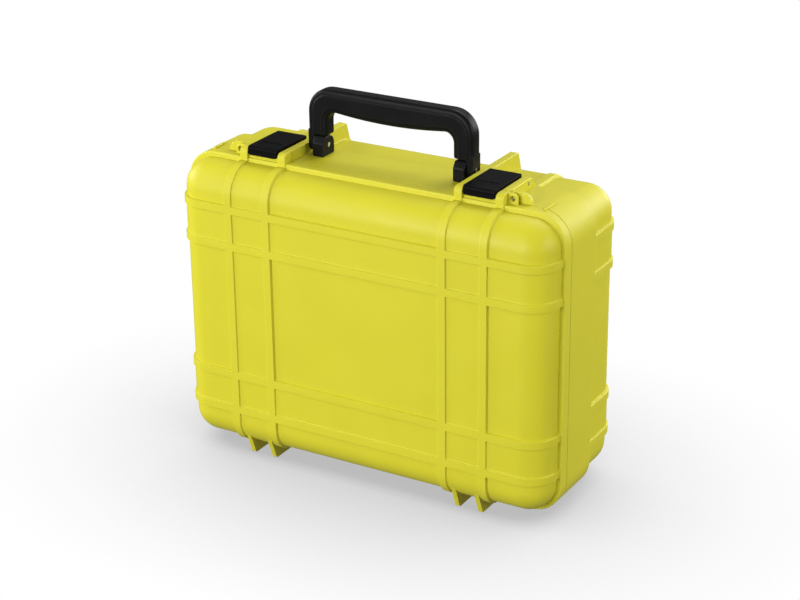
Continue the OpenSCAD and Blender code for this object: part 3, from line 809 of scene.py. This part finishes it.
def bow_stations():
    """Pairs of points (X, Z) on the bow's inner and outer edge, from the left leg to the right."""
    _, hi = mm_box("handle_bow")
    half, leg, grip, swell = hi.x, 25, 26, 5
    outer_r, inner_r = 28, 12
    eye_x, eye_z = half - leg, hi.z - grip
    foot_z = PIVOT.z + 12.5
    outer_c = (-half + outer_r, hi.z - outer_r)
    inner_c = (-eye_x + inner_r, eye_z - inner_r)
    left = []
    leg_steps = 5
    for k in range(leg_steps):
        t = k / leg_steps
        inner = (-eye_x, foot_z + (inner_c[1] - foot_z) * t)
        outer = (-half, foot_z + (outer_c[1] - foot_z) * t)
        left.append((inner, outer))
    inner_turn = arc_points(inner_c, inner_r, 180, 90, 12)
    outer_turn = arc_points(outer_c, outer_r, 180, 90, 12)
    left += list(zip(inner_turn, outer_turn))
    steps = 28
    span_i, span_o = -inner_c[0], -outer_c[0]
    middle = []
    for k in range(1, steps):
        t = -1 + 2 * k / steps
        middle.append(((span_i * t, eye_z), (span_o * t, hi.z)))
    right = [((-a[0], a[1]), (-b[0], b[1])) for a, b in reversed(left)]
    stations = []
    for inner, outer in left + middle + right:
        sag = swell * max(0.0, 1 - (inner[0] / (span_i + inner_r / 2)) ** 2)
        near_grip = soft_step((inner[1] - (eye_z - inner_r)) / inner_r)
        stations.append(((inner[0], inner[1] - sag * near_grip), outer))
    return stations


def bow_section(width, depth):
    """A closed section: a raised band along both faces, and round corners. Points are (across, Y)."""
    corner, drop, inset, ramp, ramp_steps = 4.5, 0.9, 5.6, 1.3, 4
    a, b = width / 2, depth / 2
    quarter = [(a, 0)] + arc_points((a - corner, b - drop - corner), corner, 0, 90, 6)
    for k in range(ramp_steps + 1):
        rise = soft_step(k / ramp_steps)
        quarter.append((a - inset - ramp * k / ramp_steps, b - drop * (1 - rise)))
    quarter.append((a - inset - ramp - 2, b))
    left = [(-x, y) for x, y in reversed(quarter)]
    upper = quarter + [(0, b)] + left
    lower = [(x, -y) for x, y in reversed(upper)][1:-1]
    return upper + lower


def make_handle():
    lo, hi = mm_box("handle_bow")
    mid_y, depth = (lo.y + hi.y) / 2, hi.y - lo.y
    rows = [(Vector(inner), Vector(outer), 0.0) for inner, outer in bow_stations()]
    feet = ((0, 1.6), (0.4, 0.6), (1.5, 0.0))       # rounded ends: (height, how much slimmer)
    up = Vector((0, 1))
    lead = [(rows[0][0] + up * h, rows[0][1] + up * h, pull) for h, pull in feet]
    tail = [(rows[-1][0] + up * h, rows[-1][1] + up * h, pull) for h, pull in reversed(feet)]
    points = []
    for inner, outer, pull in lead + rows[1:-1] + tail:
        width = (outer - inner).length
        across = (outer - inner) / width
        section = bow_section(width, depth)
        count = len(section)
        for a, y in section:
            p = (inner + outer) / 2 + across * a * (1 - 2 * pull / width)
            points.append((p.x, mid_y + y * (1 - 2 * pull / depth), p.y))
    bow = from_arrays("bow", points, tube_faces(len(points) // count, count))
    ear_r, ear_t, inset = 9, 8, 0.9
    front, back, low, high = lo.y + inset, hi.y - inset, PIVOT.z + 4, PIVOT.z + 18
    turn = arc_points((PIVOT.y, PIVOT.z), ear_r, 180, 360, 16)
    outline = [(front, high), (front, low), *turn, (back, low), (back, high)]
    ears = []
    for s in (-1, 1):
        a, b = sorted((s * (hi.x - ear_t), s * hi.x))
        ears.append(prism(outline, "X", a, b, 1.0))
    combine(bow, ears, "UNION")
    pin_hole = drill((0, PIVOT.y, PIVOT.z), (1, 0, 0), HANDLE_HOLE_R, length=2 * hi.x + 4)
    combine(bow, [pin_hole], "DIFFERENCE")
    finish_piece(bow, "handle_grip", "handle", BLACK_HANDLE, ["handle_bow"])


def make_bracket(side):
    """The block inside a leg of the handle: its front is cut back and its rear is round."""
    node = "handle_bracket_" + side
    lo, hi = mm_box(node)
    crown_r, cut_z, cut_y = 11, PIVOT.z + 4, 5
    crown = arc_points((PIVOT.y, PIVOT.z), crown_r, 90, 0, 8)
    outline = [(lo.y, lo.z), (lo.y, cut_z), (lo.y + cut_y, hi.z), *crown, (hi.y, lo.z)]
    body = prism(outline, "X", lo.x, hi.x, 1.5, 4)
    middle = ((lo.x + hi.x) / 2, PIVOT.y, PIVOT.z)
    combine(body, [drill(middle, (1, 0, 0), HANDLE_HOLE_R, length=30)], "DIFFERENCE")
    finish_piece(body, node + "_block", "base", BLACK_HANDLE, [node])


for s, side in ((-1, "left"), (1, "right")):
    make_latch(s, side)
    make_bracket(side)
make_handle()


# ---- foam ----

def crate(x, z):
    """Egg-crate foam: 0 on the tops, 1 in the hollows, and flat along its border."""
    pitch, border = 26, 12
    wave = math.cos(2 * math.pi * x / pitch) * math.cos(2 * math.pi * z / pitch)
    margin = soft_step(min(CORE_X - abs(x), CORE_Z - abs(z)) / border)
    return (0.5 - 0.5 * wave) * margin


def from_line(x, z, pitch):
    """How far a place is from the nearest line of a square grid."""
    return min(abs((v + pitch / 2) % pitch - pitch / 2) for v in (x, z))


def diced(x, z):
    """Foam cut into small squares: 1 in the slits, 0 on the squares, which are a little round."""
    pitch, slit = 16, 1.4
    return 1 - soft_step(from_line(x, z, pitch) / slit)


def make_pad(node, body, forward, name, face, drop):
    """A foam pad that fills the bottom of a shell. Its face looks towards the rim, and drop is
    the depth of the hollows in it."""
    lo, hi = mm_box(node)
    thick = hi.y - lo.y
    y0 = lo.y if forward > 0 else hi.y
    gap, edge, cut, pitch = 0.5, 1.5, 0.4, 3.2
    r = CAVITY_R - gap
    stop = math.degrees(math.asin(max(-1, (r - thick + edge) / r)))
    side = rounding(0, r, r, 84, stop, 8)
    out = side[-1][0]
    profile = side + [(out - cut, thick - cut, 0, 0), (out - edge, thick, 0, 0)]
    outline = Outline(filled([-CORE_X, CORE_X], pitch), filled([-CORE_Z, CORE_Z], pitch), 8)
    caps = ((0, 0, no_height), (thick, -drop, face))
    pad = loft("pad", outline, y0, forward, profile, no_height, caps)
    finish_piece(pad, name, body, FOAM, [node], crease=60)


make_pad("lid_foam", "lid", 1, "lid_foam_pad", crate, 9)
make_pad("base_foam", "base", -1, "base_foam_pad", diced, 1.6)


# ---- tray ----

DIVIDER_T = 2.4
TRAY_WALL = 2.5
GUIDE_INSET = 4             # the guide ribs start this far below the tray's rim
CROSS_XS = [sum(c.x for c in mm_box(f"tray_divider_upper_{k}")) / 2 for k in (1, 2)]


def waffle(x, z):
    """The tray's floor: 1 on a grid of low ribs, 0 between them."""
    pitch, half_width = 18, 3
    return 1 - soft_step(from_line(x, z, pitch) / half_width)


def guides(x, z, out, y0, y1):
    """Two thin ribs that hold a divider's edge between them. They stand on a wall at X, Z
    and point out of it, along (X, Z)."""
    off, half_t, height, root = 2.25, 0.75, 3, 0.3
    ribs = []
    for side in (-1, 1):
        spots = [
            (x + out[0] * h + out[1] * w, z + out[1] * h + out[0] * w)
            for h in (-root, height) for w in (side * off - half_t, side * off + half_t)
        ]
        xs, zs = [p[0] for p in spots], [p[1] for p in spots]
        ribs.append(block((min(xs), y0, min(zs)), (max(xs), y1, max(zs)), 0.25, 2))
    return ribs


def make_tray():
    lo, hi = mm_box("tray_shell")
    depth, soft_lip, outer_r, inner_r, floor_rib = hi.y - lo.y, 1.1, 4, 3, 0.6
    r = hi.x - CORE_X
    outline = Outline(filled([-CORE_X, CORE_X], 6), filled([-CORE_Z, CORE_Z], 6), 8)
    profile = [(r - 6, 0, 0, 0)] + rounding(r - outer_r, outer_r, outer_r, 90, 0, 5)
    profile += rounding(r - soft_lip, depth - soft_lip, soft_lip, 0, -90, 3)
    profile += rounding(r - TRAY_WALL + soft_lip, depth - soft_lip, soft_lip, -90, -180, 3)
    profile += rounding(r - TRAY_WALL - inner_r, TRAY_WALL + inner_r, inner_r, 0, 90, 4)
    profile += [(r - TRAY_WALL - 5, TRAY_WALL, 0, 0)]
    caps = ((0, 0, no_height), (TRAY_WALL, floor_rib, waffle))
    tray = loft("tray", outline, hi.y, -1, profile, no_height, caps)
    wall_x, wall_z = hi.x - TRAY_WALL, (hi.z - lo.z) / 2 - TRAY_WALL
    y0, y1 = lo.y + GUIDE_INSET, hi.y - TRAY_WALL + 0.5
    ribs = [rib for s in (-1, 1) for rib in guides(s * wall_x, MID_Z, (-s, 0), y0, y1)]
    for x in CROSS_XS:
        ribs += [rib for s in (-1, 1) for rib in guides(x, MID_Z + s * wall_z, (0, -s), y0, y1)]
    combine(tray, ribs, "UNION")
    finish_piece(tray, "tray_box", "tray", GREY, ["tray_shell"])


def finger_slot(y, width, height):
    """A cutter for the long divider's slot, wider at both faces so that the edge is soft."""
    run, r = (width - height) / 2, height / 2
    points = []
    steps = ((0.9, -1.5), (0.25, -0.85), (0, -0.4), (0, 0.4), (0.25, 0.85), (0.9, 1.5))
    for off, depth in steps:
        ring = arc_points((run, y), r + off, -90, 90, 12) + arc_points((-run, y), r + off, 90, 270, 12)
        points += [(a, b, MID_Z + depth) for a, b in ring]
    return from_arrays("slot", points, tube_faces(len(steps), len(points) // len(steps)))


def make_long_divider():
    lo, hi = mm_box("tray_long_divider")
    half, corner = DIVIDER_T / 2, 4
    outline = [
        (lo.x, hi.y), (hi.x, hi.y), *arc_points((hi.x - corner, lo.y + corner), corner, 0, -90, 5),
        *arc_points((lo.x + corner, lo.y + corner), corner, -90, -180, 5),
    ]
    sheet = prism(outline, "Z", MID_Z - half, MID_Z + half, 0.7)
    ribs = []
    for x in CROSS_XS:
        for s in (-1, 1):
            ribs += guides(x, MID_Z + s * half, (0, s), lo.y + GUIDE_INSET, hi.y)
    combine(sheet, ribs, "UNION")
    combine(sheet, [finger_slot(lo.y + 16, width=96, height=20)], "DIFFERENCE")
    finish_piece(sheet, "long_divider", "tray", DARK, ["tray_long_divider"])


def make_cross_divider(node):
    lo, hi = mm_box(node)
    corner = 3
    outline = [
        (hi.y, lo.z), *arc_points((lo.y + corner, lo.z + corner), corner, 270, 180, 4),
        *arc_points((lo.y + corner, hi.z - corner), corner, 180, 90, 4), (hi.y, hi.z),
    ]
    sheet = prism(outline, "X", lo.x, hi.x, 0.7)
    finish_piece(sheet, node + "_sheet", "tray", DARK, [node])


def make_tray_rest(side):
    """A bar with shallow pockets between its ribs, on the base's side wall."""
    node = "tray_rest_" + side
    lo, hi = mm_box(node)
    body = block(lo, hi, 1.4)
    count, rib, rim, pocket_d = 6, 4, 3, 1.5
    pitch = (hi.z - lo.z - rib) / count
    pockets = []
    for k in range(count):
        z = lo.z + rib + pitch * k
        near, far = (lo.x + rim, lo.y - 2, z), (hi.x - rim, lo.y + pocket_d, z + pitch - rib)
        pockets.append(block(near, far, 0.6))
    combine(body, pockets, "DIFFERENCE")
    finish_piece(body, node + "_bar", "base", DARK, [node])


make_tray()
make_long_divider()
for row in ("upper", "lower"):
    for k in (1, 2):
        make_cross_divider(f"tray_divider_{row}_{k}")
for side in ("left", "right"):
    make_tray_rest(side)


# ---- floor, light and camera ----

def make_floor():
    """A pale floor that is seen only by its soft shadow, so an open lid that reaches
    below it still shows."""
    bm = bmesh.new()
    bmesh.ops.create_grid(bm, x_segments=1, y_segments=1, size=6)
    floor = from_bmesh("floor", bm)
    material, tree, bsdf = nodes_of("pale_floor")
    near = tree.nodes.new("ShaderNodeAmbientOcclusion")
    near.inputs["Distance"].default_value = 0.3
    near.samples = 16
    tone = spread(tree, near.outputs["AO"], 0.25, 1.0, 0.5, 1.0)
    glass = tree.nodes.new("ShaderNodeBsdfTransparent")
    tree.links.new(tone, glass.inputs["Color"])
    tree.links.new(glass.outputs["BSDF"], tree.nodes["Material Output"].inputs["Surface"])
    tree.nodes.remove(bsdf)
    floor.data.materials.append(material)
    floor.visible_diffuse = floor.visible_glossy = False
    floor.visible_transmission = floor.visible_shadow = False


def make_light(name, place, target, size, watts):
    data = bpy.data.lights.new(name, "AREA")
    data.shape = "RECTANGLE"
    data.size, data.size_y = size
    data.energy = watts
    light = bpy.data.objects.new(name, data)
    bpy.context.scene.collection.objects.link(light)
    light.location = place
    light.rotation_mode = "QUATERNION"
    light.rotation_quaternion = (Vector(target) - Vector(place)).to_track_quat("-Z", "Y")


def make_world():
    """White behind the object, and a softer grey room that lights it."""
    world = bpy.data.worlds.new("studio")
    world.use_nodes = True
    tree = world.node_tree
    room = tree.nodes["Background"]
    room.inputs["Color"].default_value = (1, 1, 1, 1)
    room.inputs["Strength"].default_value = 0.22
    behind = tree.nodes.new("ShaderNodeBackground")
    behind.inputs["Color"].default_value = (1, 1, 1, 1)
    behind.inputs["Strength"].default_value = 1.0
    path = tree.nodes.new("ShaderNodeLightPath")
    either = tree.nodes.new("ShaderNodeMixShader")
    tree.links.new(path.outputs["Is Camera Ray"], either.inputs[0])
    tree.links.new(room.outputs[0], either.inputs[1])
    tree.links.new(behind.outputs[0], either.inputs[2])
    tree.links.new(either.outputs[0], tree.nodes["World Output"].inputs["Surface"])
    bpy.context.scene.world = world


def make_camera():
    data = bpy.data.cameras.new("camera")
    data.lens = 91.47
    data.sensor_width = 36
    data.clip_start, data.clip_end = 0.05, 50
    camera = bpy.data.objects.new("camera", data)
    bpy.context.scene.collection.objects.link(camera)
    place, target = Vector((1.0937, -1.8413, 1.1010)), Vector((0.06135, -0.095, 0.24579))
    roll = -0.67                # degrees
    camera.location = place
    look = (target - place).to_track_quat("-Z", "Y").to_matrix()
    camera.rotation_euler = (look @ Matrix.Rotation(math.radians(roll), 3, "Z")).to_euler()
    bpy.context.scene.camera = camera


make_floor()
make_light("key", (-0.5, -2.5, 0.65), (0, 0, 0.2), (2.0, 1.2), 64)
make_light("strip", (-1.2, -1.65, 1.7), (0, 0, 0.3), (2.4, 0.3), 14)
make_light("top", (0.1, 1.2, 2.2), (0, 0, 0.3), (2.0, 1.4), 36)
make_light("right", (2.3, 0.1, 0.9), (0, 0, 0.2), (1.4, 1.2), 34)
make_light("left", (-2.3, -0.3, 0.9), (0, 0, 0.2), (1.4, 1.2), 34)
make_light("back", (1.0, 2.5, 0.9), (0, 0, 0.2), (1.6, 1.2), 40)
make_world()
make_camera()
bpy.context.scene.view_settings.view_transform = "Standard"
